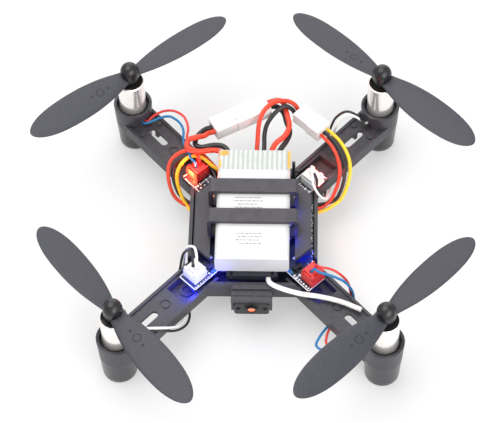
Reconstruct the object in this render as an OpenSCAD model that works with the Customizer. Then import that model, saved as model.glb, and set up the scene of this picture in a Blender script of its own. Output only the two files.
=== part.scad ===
// Micro quadcopter carrying a brushed flight controller board.
// Millimetres. Z is up, the feet stand on z = 0, the nose (camera) points to -Y.
// Every named part sits where it is used in the assembled craft.

/* [Airframe] */
// Half of the motor spacing across the craft
motor_x = 39.5; // [34:0.5:50]
// Half of the motor spacing along the craft
motor_y = 43.5; // [34:0.5:50]
// Width of one arm
arm_w = 11; // [9:0.5:14]
// Half width of the centre tray
tray_x = 19.8; // [18:0.1:26]
// Distance from the centre to the nose wall of the tray
tray_front = 23; // [20:0.5:30]
// Distance from the centre to the tail wall of the tray
tray_rear = 22; // [20:0.5:30]
// Wall thickness of the moulded tray
wall = 1.1; // [0.8:0.1:2]
// Outer radius of a motor tube at its rim
tube_r = 6.1; // [5.4:0.1:8]
// Extra length of the foot caps below the arms
lift = 4.2; // [2:0.1:8]

/* [Motors] */
// Outer radius of the motor can
can_r = 4.25; // [3:0.05:6]
// Length of the motor can
can_l = 20; // [15:0.5:25]
// Radius of the motor shaft
shaft_r = 0.5; // [0.4:0.05:1]
// Running clearance round the shaft
run_c = 0.05; // [0.01:0.01:0.1]

/* [Propellers] */
// Propeller radius
prop_r = 37.5; // [27:0.5:45]
// Propeller hub radius
hub_r = 2.95; // [2:0.05:4]
// Widest blade chord
chord = 10.4; // [6:0.2:14]
// Blade angle at the root in degrees
pitch_root = 14; // [8:1:35]
// Blade angle at the tip in degrees
pitch_tip = 8; // [4:1:20]

/* [Flight controller board] */
// Half width of the board
pcb_x = 18.4; // [16:0.1:24]
// Half length of the board
pcb_y = 16; // [14:0.5:22]
// Board thickness
pcb_t = 1; // [0.6:0.1:1.6]
// Width of the four corner tabs
tab_w = 7.2; // [6:0.1:9]
// Reach of the corner tabs from the board centre
tab_r = 28.7; // [24:0.1:34]

/* [Battery] */
// Battery width
bat_w = 22.4; // [18:0.1:26]
// Battery length with its taped end
bat_l = 39.8; // [30:0.1:48]
// Battery thickness
bat_t = 7.4; // [5:0.1:10]
// Insulated radius of the battery leads
lead_r = 0.85; // [0.5:0.05:1.2]

/* [Hidden] */
$fn = 48;
arm_a = atan2(motor_y, motor_x);
arm_r = sqrt(motor_x * motor_x + motor_y * motor_y);
tab_a = 46.5;
board_cy = -1.5;
z_under = 4.6;
z_floor = 5.8;
z_arm = 8.5;
z_lip = 9.1;
z_rail = 11.2;
z_seam = 6.2;
z_rim = 14.1;
z_pcb = 9.3;
z_top = z_pcb + pcb_t;
z_cage = 13;
can_z = 5.6;
can_top = can_z + can_l;
bat_z = 13.1;
bat_y0 = -19.2;
post_x = 15.5;
post_y = 7.6;
sock_r = 24.6;
plug_a = 29.7;
plug_o = [-13.3, 31.9, 16];
vid_a = -43.2;
vid_o = [13.5, 40.5, 13.5];

// ---------- helpers ----------
function unit(v) = v / norm(v);
function spline(a, b, c, d, t) =
  0.5 * (2 * b + (c - a) * t + (2 * a - 5 * b + 4 * c - d) * t * t + (3 * b - a - 3 * c + d) * t * t * t);
function smooth(P, m) = concat([for (i = [0 : len(P) - 2]) for (j = [0 : m - 1])
  spline(P[max(i - 1, 0)], P[i], P[i + 1], P[min(i + 2, len(P) - 1)], j / m)], [P[len(P) - 1]]);
function tangents(Q) = [for (i = [0 : len(Q) - 1]) unit(Q[min(i + 1, len(Q) - 1)] - Q[max(i - 1, 0)])];
function carry(T, i, n, acc) = i == len(T) ? acc
  : let (k = unit(n - (n * T[i]) * T[i])) carry(T, i + 1, k, concat(acc, [k]));

// round flexible wire through a list of route points
module wire(P, r, m = 2, s = 8) {
  Q = smooth(P, m);
  T = tangents(Q);
  N = carry(T, 0, abs(T[0][2]) < 0.9 ? [0, 0, 1] : [1, 0, 0], []);
  k = len(Q);
  pts = [for (i = [0 : k - 1]) for (j = [0 : s - 1])
    Q[i] + r * (cos(360 * j / s) * N[i] + sin(360 * j / s) * cross(T[i], N[i]))];
  side = [for (i = [0 : k - 2]) for (j = [0 : s - 1]) for (h = [0, 1])
    h == 0 ? [i * s + j, (i + 1) * s + j, (i + 1) * s + (j + 1) % s]
           : [i * s + j, (i + 1) * s + (j + 1) % s, i * s + (j + 1) % s]];
  polyhedron(points = pts, faces = concat(side,
    [[for (j = [0 : s - 1]) j]], [[for (j = [s - 1 : -1 : 0]) (k - 1) * s + j]]), convexity = 8);
}

module rounded(w, h, r) {
  square([w, h - 2 * r], center = true);
  square([w - 2 * r, h], center = true);
  for (x = [-1, 1], y = [-1, 1]) translate([x * (w / 2 - r), y * (h / 2 - r)]) circle(r = r);
}
module block(x, y, z) { translate([-x / 2, -y / 2, 0]) cube([x, y, z]); }
// local x runs outward along the arm of corner [sx, sy]
module on_arm(sx, sy) { rotate([0, 0, atan2(sy * motor_y, sx * motor_x)]) children(); }
// local x runs outward along the board tab of corner [sx, sy]
module on_tab(sx, sy) {
  translate([0, board_cy, 0]) rotate([0, 0, atan2(sy * sin(tab_a), sx * cos(tab_a))]) children();
}
module corners() { for (sx = [-1, 1], sy = [-1, 1]) on_arm(sx, sy) children(); }
module tabs() { for (sx = [-1, 1], sy = [-1, 1]) on_tab(sx, sy) children(); }
module at_motor(sx, sy) { translate([sx * motor_x, sy * motor_y, 0]) children(); }
module motors() { for (sx = [-1, 1], sy = [-1, 1]) at_motor(sx, sy) children(); }
module posts() { for (x = [-1, 1], y = [-1, 1]) translate([x * post_x, board_cy + y * post_y, 0]) children(); }

// ---------- airframe ----------
module tray_outline() {
  translate([-tray_x, -tray_front]) square([2 * tray_x, tray_front + tray_rear]);
}
module frame_tray() {
  color([0.09, 0.09, 0.1]) difference() {
    union() {
      // floor
      translate([0, 0, z_under]) linear_extrude(height = z_floor - z_under) tray_outline();
      // side and nose walls, lower tail wall
      difference() {
        union() {
          translate([0, 0, z_under]) linear_extrude(height = z_rail - z_under) difference() {
            tray_outline();
            translate([-tray_x + wall, -tray_front + wall]) square([2 * tray_x - 2 * wall, 80]);
          }
          translate([-tray_x, tray_rear - wall, z_under]) cube([2 * tray_x, wall, 9 - z_under]);
        }
        // the arms leave through the four corners
        corners() translate([10, -arm_w / 2, z_lip]) cube([30, arm_w, 10]);
        translate([-tray_x - 1, tray_rear - wall, 9]) cube([2 * tray_x + 2, 2 * wall, 10]);
        // and leave the pockets clear
        corners() translate([10, -3.7, z_floor]) cube([24.3, 7.4, 10]);
        corners() translate([10, -arm_w / 2 + wall, z_floor]) cube([13.5, arm_w - 2 * wall, 10]);
      }
      // arms
      corners() difference() {
        union() {
          translate([21, -arm_w / 2, z_under]) cube([arm_r - 21, arm_w, z_lip - z_under]);
        }
        // shallow trough on the top face
        translate([10, -arm_w / 2 + 0.9, z_arm]) cube([60, arm_w - 1.8, 2]);
        // hollow underside outboard
        translate([35.6, -arm_w / 2 + wall, z_under - 1]) cube([12.8, arm_w - 2 * wall, 3.7]);
        translate([49.6, -arm_w / 2 + wall, z_under - 1]) cube([10, arm_w - 2 * wall, 3.4]);
        // open pocket under the board tab
        translate([18, -3.7, z_floor]) cube([16.3, 7.4, 10]);
        translate([18, -arm_w / 2 + wall, z_floor]) cube([5.5, arm_w - 2 * wall, 10]);
        // wire slot
        translate([0, 0, z_under - 1]) linear_extrude(height = 10) {
          translate([43.4, -1.2]) square([6, 2.4]);
          translate([43.4, 0]) circle(r = 1.2);
          translate([49.4, 0]) circle(r = 1.2);
        }
        // direction mark ring
        translate([38.6, 0, z_arm - 0.3]) linear_extrude(height = 1) difference() {
          circle(r = 1.7);
          circle(r = 1.15);
        }
      }
      // raised ring on each pocket floor and bosses by each tube
      corners() {
        translate([29.5, 0, z_floor - 0.2]) difference() { cylinder(r = 2.3, h = 0.7); translate([0, 0, -1]) cylinder(r = 1.4, h = 3); }
        for (v = [-1, 1]) translate([50.2, v * 3.4, z_arm - 0.3]) cylinder(r = 0.9, h = 0.8);
      }
      // board posts
      posts() translate([0, 0, z_under]) cylinder(r = 2.2, h = z_pcb - z_under);
      // motor tubes
      motors() translate([0, 0, z_seam]) cylinder(r1 = tube_r - 0.34, r2 = tube_r, h = z_rim - z_seam);
    }
    // screw holes up through the board posts
    posts() {
      translate([0, 0, 0]) cylinder(r = 0.9, h = 20);
      translate([0, 0, 0]) cylinder(r = 1.6, h = z_under + 0.7);
    }
    // motor bores and mouths
    motors() {
      cylinder(r = can_r, h = 40);
      translate([0, 0, z_rim - 2.8]) cylinder(r = 5.25, h = 10);
      translate([0, 0, -1]) cylinder(r = tube_r - 0.2, h = z_seam + 1);
    }
    // lead hole at the root of each tube
    corners() translate([arm_r - 9, 0, 9.9]) rotate([0, 90, 0]) cylinder(r = 1.2, h = 6);
    // window for the data port in the tail wall
    translate([-4.6, tray_rear - 3, 7.2]) cube([9.2, 6, 5]);
    // floor vents
    for (x = [-1, 1]) translate([x * 6.5, board_cy, 0]) linear_extrude(height = 8) rounded(5, 18, 2);
  }
}

module foot_caps() {
  color([0.07, 0.07, 0.08]) for (q = [[-1, -1, 195], [1, -1, 20], [1, 1, 75], [-1, 1, 120]])
    at_motor(q[0], q[1]) difference() {
      union() {
        cylinder(r1 = tube_r - 1.35, r2 = tube_r - 0.9, h = 0.5);
        translate([0, 0, 0.5]) cylinder(r1 = tube_r - 0.9, r2 = tube_r - 0.36, h = z_seam + lift - 0.5);
      }
      translate([0, 0, can_z + lift]) cylinder(r = can_r, h = 10);
      translate([0, 0, 1.4]) cylinder(r = 3.3, h = 14);
      rotate([0, 90, q[2]]) translate([-5.4, 0, 2]) cylinder(r = 0.5, h = 6);
    }
}

module cage_plate() {
  a = 17.8; b = 9.7; c = 12.9; d = 14.2;
  polygon([[c, -d], [a, -b], [a, b], [c, d]]);
}
module battery_cage() {
  color([0.1, 0.1, 0.11]) difference() {
    union() {
      translate([0, board_cy, z_cage]) linear_extrude(height = 1.4) { cage_plate(); mirror([1, 0]) cage_plate(); }
      // hold-down bars with their legs
      for (y = [4, -7]) difference() {
        translate([-13.8, y, z_cage]) cube([27.6, 4.9, bat_z + bat_t + 1.4 - z_cage]);
        translate([-12.7, y - 1, z_cage - 1]) cube([25.4, 8, bat_z + bat_t + 0.15 - z_cage + 1]);
        for (x = [-1, 1]) translate([x * 13.8, y - 1, bat_z + bat_t + 1.4]) rotate([0, 45, 0]) translate([-0.6, 0, -0.6]) cube([1.2, 8, 1.2]);
      }
      // cradle strips under the battery
      for (y = [4.9, -6.2]) translate([-14, y, 11.9]) cube([28, 3, z_cage - 11.9]);
      for (x = [-1, 1]) translate([x * 14 - 0.7, board_cy - 4.7, 11.9]) cube([1.4, 11, 1.5]);
      posts() translate([0, 0, z_top]) cylinder(r = 2.1, h = z_cage + 0.5 - z_top);
      for (x = [-1, 1]) translate([x * 14.4 - 1, board_cy - post_y - 1.4, z_cage - 1.1]) cube([2, 2 * post_y + 2.8, 1.4]);
    }
    posts() translate([0, 0, z_top - 1]) cylinder(r = 0.65, h = 3.6);
  }
}
module cage_screws() {
  color([0.75, 0.75, 0.78]) posts() difference() {
    union() {
      translate([0, 0, z_under - 0.2]) cylinder(r = 1.5, h = 0.9);
      translate([0, 0, z_under]) cylinder(r = 0.65, h = z_top + 2.4 - z_under);
    }
    translate([-1.1, -0.15, z_under - 1]) cube([2.2, 0.3, 1.15]);
    translate([-0.15, -1.1, z_under - 1]) cube([0.3, 2.2, 1.15]);
  }
}

// ---------- camera and video parts ----------
module camera_bracket() {
  color([0.1, 0.1, 0.12]) difference() {
    union() {
      translate([-6.2, -tray_front - 4.6, 4.2]) cube([12.4, 4.6, 6.6]);
      translate([-6.2, -tray_front - 1.6, 10.8]) cube([12.4, 1.6, 0.7]);
      translate([-6.2, -tray_front - 3.6, 10.8]) cube([12.4, 0.7, 0.35]);
      translate([-6.2, -tray_front - 5.4, 9.4]) cube([12.4, 0.8, 1.4]);
    }
    translate([-5.35, -tray_front - 6, 3]) cube([10.7, 5.2, 6.4]);
  }
}
module camera_case() {
  color([0.16, 0.16, 0.17]) difference() {
    union() {
      translate([0, -tray_front - 1, 6.55]) rotate([90, 0, 0]) linear_extrude(height = 4.6) rounded(10.6, 5.6, 1.1);
      translate([0, -tray_front - 5.6, 6.9]) rotate([90, 0, 0]) linear_extrude(height = 0.3) rounded(4.4, 3.4, 1.2);
    }
    // lens barrel seat
    translate([0, -tray_front - 3, 7]) rotate([90, 0, 0]) cylinder(r = 1.7, h = 5);
    // arrow-like recesses in the face
    for (x = [-1, 1]) scale([x, 1, 1]) translate([3.9, -tray_front - 5.2, 7]) rotate([90, 0, 0])
      linear_extrude(height = 2) polygon([[-0.7, 0], [0.5, 1.3], [0.5, 0.5], [1, 0], [0.5, -0.5], [0.5, -1.3]]);
  }
}
module camera_lens() {
  color([0.03, 0.03, 0.03]) translate([0, -tray_front - 3, 7]) rotate([90, 0, 0]) difference() {
    cylinder(r = 1.7, h = 3.4);
    translate([0, 0, 2.6]) cylinder(r1 = 1.15, r2 = 1.35, h = 2);
  }
}
module camera_glass() {
  color([0.9, 0.35, 0.15]) translate([0, -tray_front - 5.6, 7]) rotate([90, 0, 0]) cylinder(r = 1.15, h = 0.5);
}
module video_transmitter() {
  color([0.2, 0.2, 0.22]) difference() {
    translate([-7.7, -20.8, z_top]) cube([15.4, 6.3, z_cage - z_top]);
    translate([5, -20, 11.6]) rotate([90, 0, 0]) cylinder(r = 0.9, h = 3);
    for (x = [-6.2, 6.2]) translate([x - 0.4, -22, 12.2]) cube([0.8, 9, 2]);
  }
}
module antenna() {
  color([0.93, 0.9, 0.86]) wire([[5, -20.1, 11.6], [5, -21.3, 11.66], [5.5, -22.8, 12.3], [7.4, -24.1, 12.4], [11, -25, 11.6],
    [15.2, -25.6, 10.7], [19.1, -25.8, 10.1], [22.7, -26.5, 10], [26.6, -27.6, 10], [29.9, -29, 10], [33, -30.5, 10]], 0.78);
}

// ---------- motors ----------
module motor_can() {
  color([0.78, 0.79, 0.8]) rotate_extrude() polygon([[can_r - 0.35, can_z], [can_r, can_z], [can_r, can_top - 0.35],
    [can_r - 0.35, can_top], [1.6, can_top], [1.6, can_top + 0.25], [1.1, can_top + 0.25], [1.1, can_top - 0.6], [can_r - 0.35, can_top - 0.6]]);
}
module motor_end_caps() {
  color([0.85, 0.3, 0.2]) motors() difference() {
    translate([0, 0, can_z]) cylinder(r = can_r - 0.35, h = 2.8);
    translate([0, 0, can_z + 0.9]) cylinder(r = shaft_r + run_c, h = 5);
    translate([0, 0, can_z + 1.9]) cylinder(r = 2, h = 5);
  }
}
module motor_magnets() {
  color([0.35, 0.35, 0.38]) motors() translate([0, 0, 13]) difference() {
    cylinder(r = 2.4, h = can_top - 0.6 - 13);
    translate([0, 0, -1]) cylinder(r = 1.1, h = 30);
  }
}
module motor_bushings() {
  color([0.72, 0.52, 0.25]) motors() translate([0, 0, 21]) difference() {
    cylinder(r = 1.1, h = can_top + 0.35 - 21);
    translate([0, 0, -1]) cylinder(r = shaft_r + run_c, h = 30);
  }
}
module rotor() {
  color([0.72, 0.4, 0.2]) {
    translate([0, 0, can_z + 1.2]) cylinder(r = shaft_r, h = 30.4 - can_z - 1.2);
    translate([0, 0, 8.7]) cylinder(r = 1.1, h = 1.4);
    translate([0, 0, 9.6]) cylinder(r = 3.3, h = 0.9);
    translate([0, 0, 10.5]) difference() {
      cylinder(r = 3.3, h = 13);
      translate([0, 0, -1]) cylinder(r = 2.85, h = 20);
    }
  }
}
// share of the radius and share of the widest chord, from root to tip
BLADE = [[0.06, 0.46], [0.107, 0.55], [0.16, 0.65], [0.24, 0.79], [0.32, 0.885], [0.427, 0.97], [0.533, 1], [0.64, 0.99], [0.747, 0.933],
  [0.827, 0.827], [0.88, 0.72], [0.933, 0.567], [0.965, 0.42], [0.987, 0.265], [1, 0.09]];
// one blade, root on the axis, tip along +X; turn = 1 spins anticlockwise seen from above and lifts the +Y edge
function blade_sec(q, turn) = let (t = (q[0] - 0.06) / 0.94, c = q[1] * chord, a = (pitch_root + (pitch_tip - pitch_root) * t) * turn,
  k = 0.55 * (1.25 - 0.75 * t), x = q[0] * prop_r, o = 0.01 * x)
  [for (p = [[-0.5, 0], [-0.22, 0.9], [0.2, 1.05], [0.5, 0.1], [0.2, 0.1], [-0.22, -0.05]])
    let (y = (p[0] * c - o) * turn, z = p[1] * k - 0.05 * c * (1 - 4 * p[0] * p[0]) + 0.04 * c)
    [x, y * cos(a) - z * sin(a), y * sin(a) + z * cos(a)]];
module blade(turn) {
  n = len(BLADE);
  pts = [for (q = BLADE) each blade_sec(q, turn)];
  f = [for (i = [0 : n - 2]) for (j = [0 : 5]) for (h = [0, 1])
    h == 0 ? [i * 6 + j, (i + 1) * 6 + j, (i + 1) * 6 + (j + 1) % 6] : [i * 6 + j, (i + 1) * 6 + (j + 1) % 6, i * 6 + (j + 1) % 6]];
  caps = [[0, 1, 5], [1, 2, 5], [2, 4, 5], [2, 3, 4]];
  e = (n - 1) * 6;
  all = concat(f, caps, [for (q = caps) [q[2] + e, q[1] + e, q[0] + e]]);
  polyhedron(points = pts, faces = turn < 0 ? all : [for (q = all) [q[2], q[1], q[0]]], convexity = 6);
}
module propeller(a, turn) {
  color([0.16, 0.16, 0.17]) translate([0, 0, 28.4]) rotate([0, 0, a]) difference() {
    union() {
      translate([0, 0, -2]) cylinder(r = hub_r - 0.35, h = 1.2);
      translate([0, 0, -0.8]) cylinder(r = hub_r, h = 2.8);
      translate([0, 0, 2]) sphere(r = hub_r);
      blade(turn);
      rotate([0, 0, 180]) blade(turn);
    }
    translate([0, 0, -3]) cylinder(r = shaft_r, h = 5);
  }
}

// ---------- flight controller board ----------
module board_pcb() {
  color([0.05, 0.09, 0.16]) translate([0, 0, z_pcb]) linear_extrude(height = pcb_t) difference() {
    union() {
      translate([-pcb_x, board_cy - pcb_y]) square([2 * pcb_x, 2 * pcb_y]);
      for (sx = [-1, 1], sy = [-1, 1]) on_tab(sx, sy) translate([10, -tab_w / 2]) square([tab_r - 10 + (sy > 0 ? 0.8 : 0), tab_w]);
    }
    for (x = [-1, 1], y = [-1, 1]) translate([x * post_x, board_cy + y * post_y]) circle(r = 0.9);
  }
}
module board_processor() { color([0.06, 0.06, 0.07]) translate([-1, -3, z_top]) { block(7, 7, 0.9); for (a = [0 : 3]) rotate([0, 0, 90 * a]) for (i = [-5 : 5]) translate([3.5, i * 0.6 - 0.12, 0]) cube([0.7, 0.24, 0.3]); } }
module board_gyro() { color([0.08, 0.08, 0.09]) translate([7.6, 0.6, z_top]) block(4, 4, 0.9); }
module board_receiver() { color([0.07, 0.07, 0.08]) translate([-9, 1.5, z_top]) block(4, 4, 0.85); }
module board_mosfets() {
  color([0.15, 0.15, 0.17]) tabs() translate([19.9, 0, z_top]) {
    block(1.5, 3, 1.05);
    translate([0.7, -1.15, 0]) cube([0.6, 0.45, 0.5]);
    translate([0.7, 0.7, 0]) cube([0.6, 0.45, 0.5]);
    translate([-1.3, -0.22, 0]) cube([0.7, 0.45, 0.5]);
  }
}
module chip(x, y, a = 0) { translate([x, y, z_top]) rotate([0, 0, a]) block(1.1, 0.6, 0.5); }
module board_passives() {
  color([0.8, 0.75, 0.65]) {
    for (y = [-6.2 : 1.9 : 3.4]) chip(17.6, y, 90);
    for (y = [-6.2 : 3.8 : 3.4]) chip(-17.6, y, 90);
    for (x = [-5 : 2.2 : 5]) chip(x, -9.6);
    for (y = [-5 : 2.2 : 3]) chip(11.4, y, 90);
    for (x = [-12 : 2 : -7]) chip(x, 5.4);
    tabs() for (v = [-1, 1]) translate([16.9, v * 1.6, z_top]) block(0.6, 1.1, 0.5);
  }
}
module board_crystal() { color([0.8, 0.8, 0.82]) translate([-9, -4.2, z_top]) block(3.2, 2.5, 0.8); }
module board_usb_port() {
  color([0.75, 0.76, 0.78]) translate([0, 11.7, z_top]) difference() {
    block(7.5, 5.6, 2.5);
    translate([-3.3, 0, 0.4]) cube([6.6, 5, 1.7]);
  }
}
module board_leds_front() { color([0.2, 0.35, 1]) for (sx = [-1, 1]) on_tab(sx, -1) translate([26.8, -sx * 2, z_pcb - 0.6]) block(0.9, 1.6, 0.6); }
module board_leds_rear() { color([1, 0.15, 0.1]) for (sx = [-1, 1]) on_tab(sx, 1) translate([26.8, -sx * 1.6, z_pcb - 0.6]) block(0.9, 1.6, 0.6); }

// where each connector sits on its tab: along it and across it
function sock_at(sx, sy) = sy < 0 ? (sx < 0 ? [0, -0.4] : [1.2, 0.9]) : (sx < 0 ? [2.2, -0.9] : [0.5, -1.1]);
module on_sock(sx, sy) { on_tab(sx, sy) translate([sock_at(sx, sy)[0], sock_at(sx, sy)[1], 0]) children(); }
module socket() {
  translate([sock_r, 0, z_top]) difference() {
    block(5, 5.3, 2.9);
    translate([0, 0, 0.8]) block(4.2, 4.5, 5);
  }
  for (v = [-0.75, 0.75]) translate([sock_r, v, z_top + 0.5]) block(0.4, 0.4, 2.4);
}
module plug() {
  difference() {
    union() {
      translate([sock_r, 0, z_top + 0.8]) block(4.2, 4.5, 2.1);
      translate([sock_r, 0, z_top + 2.9]) block(4.6, 5, 1.5);
    }
    for (v = [-0.75, 0.75]) {
      translate([sock_r, v, z_top]) block(0.4, 0.4, 2.9);
      translate([sock_r, v, z_top + 3.2]) cylinder(r = 0.55, h = 5);
    }
    translate([sock_r + 1.5, -1.3, z_top + 3.5]) cube([1, 2.6, 2]);
    for (v = [-1, 1]) translate([sock_r - 1.9, v * 2.5 - 0.6, z_top + 3.7]) cube([3.4, 1.2, 2]);
  }
}
module motor_sockets_white() { color([0.95, 0.95, 0.93]) { on_sock(-1, -1) socket(); on_sock(1, 1) socket(); } }
module motor_sockets_red() { color([0.8, 0.1, 0.08]) { on_sock(1, -1) socket(); on_sock(-1, 1) socket(); } }
module motor_plugs_white() { color([0.93, 0.93, 0.92]) { on_sock(-1, -1) plug(); on_sock(1, 1) plug(); } }
module motor_plugs_red() { color([0.8, 0.12, 0.1]) { on_sock(1, -1) plug(); on_sock(-1, 1) plug(); } }

module bind_button_body() {
  color([0.7, 0.7, 0.72]) translate([-9.4, -11, z_top]) difference() {
    block(4.2, 3.2, 1.5);
    translate([0, 0, 0.6]) cylinder(r = 1, h = 3);
  }
}
module bind_button_cap() { color([0.12, 0.12, 0.12]) translate([-9.4, -11, z_top + 1]) cylinder(r = 0.95, h = 1.2); }
module receiver_aerial() {
  color([0.05, 0.05, 0.05]) translate([12.2, 18.4, z_floor]) { cylinder(r = 1, h = 5); cylinder(r = 0.5, h = 11.4); }
}

// ---------- battery ----------
module battery_pouch() {
  color([0.82, 0.83, 0.84]) difference() {
    translate([0, bat_y0 + bat_l - 7.4, bat_z + bat_t / 2]) rotate([90, 0, 0]) linear_extrude(height = bat_l - 7.4) rounded(bat_w, bat_t, 1.6);
    translate([-20, bat_y0, bat_z + bat_t]) rotate([45, 0, 0]) translate([0, -0.55, -0.55]) cube([40, 1.1, 1.1]);
  }
}
module battery_end_tape() {
  color([0.8, 0.82, 0.75]) translate([0, bat_y0 + bat_l, bat_z + bat_t / 2]) rotate([90, 0, 0]) difference() {
    linear_extrude(height = 7.4) rounded(bat_w, bat_t, 1.2);
    translate([0, 0, 0.3]) linear_extrude(height = 8) rounded(bat_w - 0.6, bat_t - 0.6, 0.9);
    translate([-9.9, 0.4, -1]) cylinder(r = lead_r + 0.02, h = 3);
    translate([-8.1, 0.4, -1]) cylinder(r = lead_r + 0.02, h = 3);
  }
}
module battery_circuit() {
  color([0.1, 0.25, 0.15]) translate([0, bat_y0 + bat_l - 4.6, bat_z + 0.4]) {
    translate([-9.8, -2, 0]) cube([19.6, 3.6, 0.8]);
    translate([-4, -1.4, 0.8]) cube([3, 2.4, 1]);
    translate([2, -1.4, 0.8]) cube([4, 2.4, 1]);
    translate([-9.8, -2.6, 0]) cube([19.6, 0.6, 5.4]);
    for (x = [-9.9, -8.1]) translate([x - 0.75, -2.2, 2.3]) cube([1.5, 1.5, 2.4]);
  }
}
module battery_leads() {
  color([0.85, 0.2, 0.1]) wire([[-9.9, 15.4, 17.2], [-9.9, 21, 17.3], [-11.6, 22.6, 17.3], [-14.2, 22.6, 17.4], [-17.2, 21.6, 18.1], [-19.8, 21.8, 18.8],
    [-21.2, 23.2, 19.2], [-20.4, 25.4, 19.4], [-18, 26.6, 18.9], [-16, 28, 17.7], [-14.8, 30, 16.4], plug_at(-0.6, -0.9), plug_at(0.9, -0.9)], lead_r);
  color([0.05, 0.05, 0.05]) wire([[-8.1, 15.4, 17.2], [-8.1, 21.4, 17.3], [-9.8, 24.2, 17.3], [-13, 24.6, 17.4], [-16.6, 23.9, 17.2], [-18.6, 25, 17],
    [-18.6, 27.4, 16.8], [-17.4, 29.8, 16.5], [-15.7, 31.7, 16.2], plug_at(-0.6, 0.9), plug_at(0.9, 0.9)], lead_r);
}
// points on the plug and connector axes, x along the axis and v across it
function plug_at(x, v) = plug_o + [x * cos(plug_a) - v * sin(plug_a), x * sin(plug_a) + v * cos(plug_a), 0];
function vid_at(x, v) = vid_o + [x * cos(vid_a) - v * sin(vid_a), x * sin(vid_a) + v * cos(vid_a), 0];
// plug axis runs along local x from the lead end
module on_plug() { translate(plug_o) rotate([0, 0, plug_a]) children(); }
module battery_plug() {
  color([0.95, 0.95, 0.92]) on_plug() difference() {
    union() {
      translate([0, -3, -2.1]) cube([7.2, 6, 4.2]);
      translate([7.2, -2.35, -1.5]) cube([4.6, 4.7, 3]);
      translate([3, -1.2, 2.1]) cube([5.4, 2.4, 0.5]);
    }
    for (v = [-1, 1]) {
      translate([-1, v * 0.9, 0]) rotate([0, 90, 0]) cylinder(r = lead_r, h = 2);
      translate([3, v * 1.1 - 0.65, -0.65]) cube([10, 1.3, 1.3]);
    }
  }
}
module battery_plug_contacts() {
  color([0.85, 0.7, 0.35]) on_plug() for (v = [-1, 1]) difference() {
    translate([3, v * 1.1 - 0.65, -0.65]) cube([8.4, 1.3, 1.3]);
    translate([6.5, v * 1.1 - 0.37, -0.37]) cube([8, 0.74, 0.74]);
  }
}
module pigtail_socket() {
  color([0.95, 0.95, 0.92]) on_plug() difference() {
    translate([7.3, -3.1, -2.1]) cube([12, 6.2, 4.2]);
    translate([7, -2.42, -1.57]) cube([5, 4.84, 3.14]);
    translate([7, -1.27, 1]) cube([1.6, 2.54, 3]);
    for (v = [-1, 1]) {
      translate([10, v * 1.1 - 0.3, -0.3]) cube([5.5, 0.6, 0.6]);
      translate([17.3, v * 0.95, 0]) rotate([0, 90, 0]) cylinder(r = lead_r, h = 4);
    }
  }
}
module pigtail_pins() {
  color([0.8, 0.8, 0.82]) on_plug() for (v = [-1, 1]) translate([7.6, v * 1.1 - 0.3, -0.3]) cube([7.9, 0.6, 0.6]);
}
// from the socket, over and down behind the battery, to the pads at the tail edge of the board
module pigtail_wires() {
  color([0.85, 0.2, 0.1]) wire([plug_at(17.5, 0.95), plug_at(19.6, 0.95), [6.6, 43.7, 15.9], [8.4, 43.1, 15.7], [9.2, 41.3, 15], [10, 38, 14.9], [10.6, 34.4, 14.5],
    [9.2, 31, 14], [6.4, 28.8, 13], [5, 25.4, 12.2], [4.8, 21, 11.8], [5.6, 17, 11.8], [6, 13.4, 11.2]], lead_r);
  color([0.05, 0.05, 0.05]) wire([plug_at(17.5, -0.95), plug_at(19.6, -0.95), [6.2, 41.7, 15.2], [7.8, 41.6, 14], [9, 40.2, 13.1], [9.7, 37.4, 12.8], [10.8, 33.8, 12.5],
    [9.8, 30.4, 12.1], [8, 27.6, 11.6], [7.2, 24.6, 11.6], [7.4, 20.6, 11.8], [8.2, 17, 11.8], [8.6, 13.4, 11.2]], lead_r);
}
module on_video() { translate(vid_o) rotate([0, 0, vid_a]) children(); }
module video_connector() {
  color([0.95, 0.95, 0.92]) on_video() difference() {
    union() { translate([0, -2.6, -2]) cube([6, 5.2, 4]); translate([5.9, -2.9, -2.2]) cube([5.1, 5.8, 4.4]); }
    for (v = [-1, 1]) translate([-1, v * 0.9, 0]) rotate([0, 90, 0]) cylinder(r = 0.75, h = 2.5);
    for (v = [-1, 0, 1]) translate([9.5, v * 1.5, 0]) rotate([0, 90, 0]) cylinder(r = 0.6, h = 4);
  }
}
module video_pair() {
  color([0.85, 0.2, 0.1]) wire([vid_at(1.3, 0.9), vid_at(-0.7, 0.9), [12, 42.6, 15.4], [9.6, 42.3, 17.4], [6, 40.6, 19], [3, 37.6, 19.3], [1.3, 34, 18],
    [0.8, 30.6, 15.8], [0.6, 27.4, 13.8], [0, 24, 12.2], [-3.4, 20, 11.8], [-6, 16.6, 11.3], [-7.2, 13.2, 11.05]], 0.72);
  color([0.05, 0.05, 0.05]) wire([vid_at(1.3, -0.9), vid_at(-0.7, -0.9), [11.4, 40.6, 15.3], [9.3, 40.4, 17.2], [7, 39.2, 16.6], [4.9, 36.9, 15.8], [3.4, 34.2, 15],
    [2.8, 31, 14], [2.8, 27.4, 12.8], [2.2, 24, 11.9], [-1.2, 20, 11.6], [-4, 16.6, 11.3], [-5.4, 13.2, 11.05]], 0.72);
}
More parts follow.
